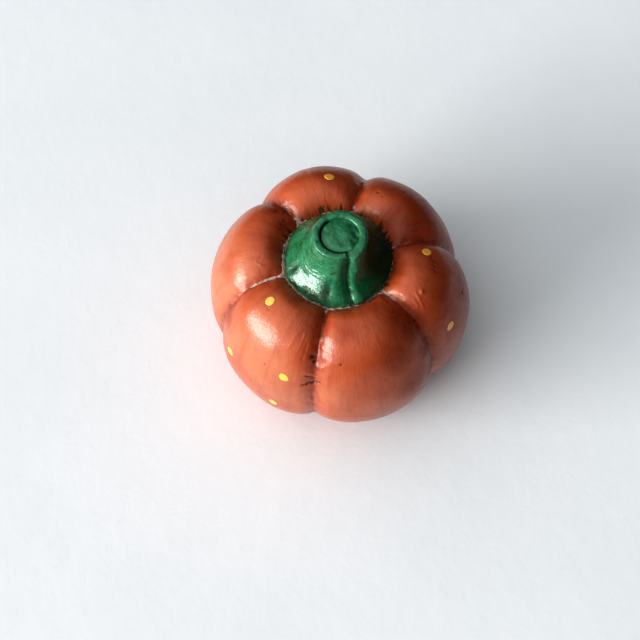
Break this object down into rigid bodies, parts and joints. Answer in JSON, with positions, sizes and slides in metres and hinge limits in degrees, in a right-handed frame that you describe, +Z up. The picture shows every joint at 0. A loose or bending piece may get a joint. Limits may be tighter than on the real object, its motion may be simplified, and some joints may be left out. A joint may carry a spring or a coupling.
{
  "type": "ceramic pumpkin figure",
  "caption": "Small hollow ceramic pumpkin with puffed lobes, a flared stem wrapped from a clay strip, raised enamel dots, a flat foot and a vent hole. Stands as a seasonal ornament.",
  "frame": {"origin": "centre of the foot's plane, under the middle of the figure's bounding box", "axes": "+Z up through the stem; -Y towards the front, where the stem's lapped seam faces a little to the right"},
  "size_m": [0.08, 0.0798, 0.0641],
  "materials": {
    "orange_painted_clay": "satin",
    "green_painted_clay": "satin",
    "bare_slip": "matte",
    "yellow_enamel": "gloss"
  },
  "bodies": {
    "root": {"lower_half_shell": "orange_painted_clay", "upper_half_shell": "orange_painted_clay", "joint_slip_ring": "bare_slip", "stem_plug": "green_painted_clay", "stem_wrap": "green_painted_clay", "stem_slip_bead": "bare_slip", "dot_front_left_1": "yellow_enamel", "dot_front_left_2": "yellow_enamel", "dot_front_left_3": "yellow_enamel", "dot_front_left_4": "yellow_enamel", "dot_back_1": "yellow_enamel", "dot_back_2": "yellow_enamel", "dot_back_3": "yellow_enamel", "dot_back_4": "yellow_enamel", "dot_right_1": "yellow_enamel", "dot_right_2": "yellow_enamel", "dot_right_3": "yellow_enamel", "dot_right_4": "yellow_enamel"}
  },
  "joints": []
}
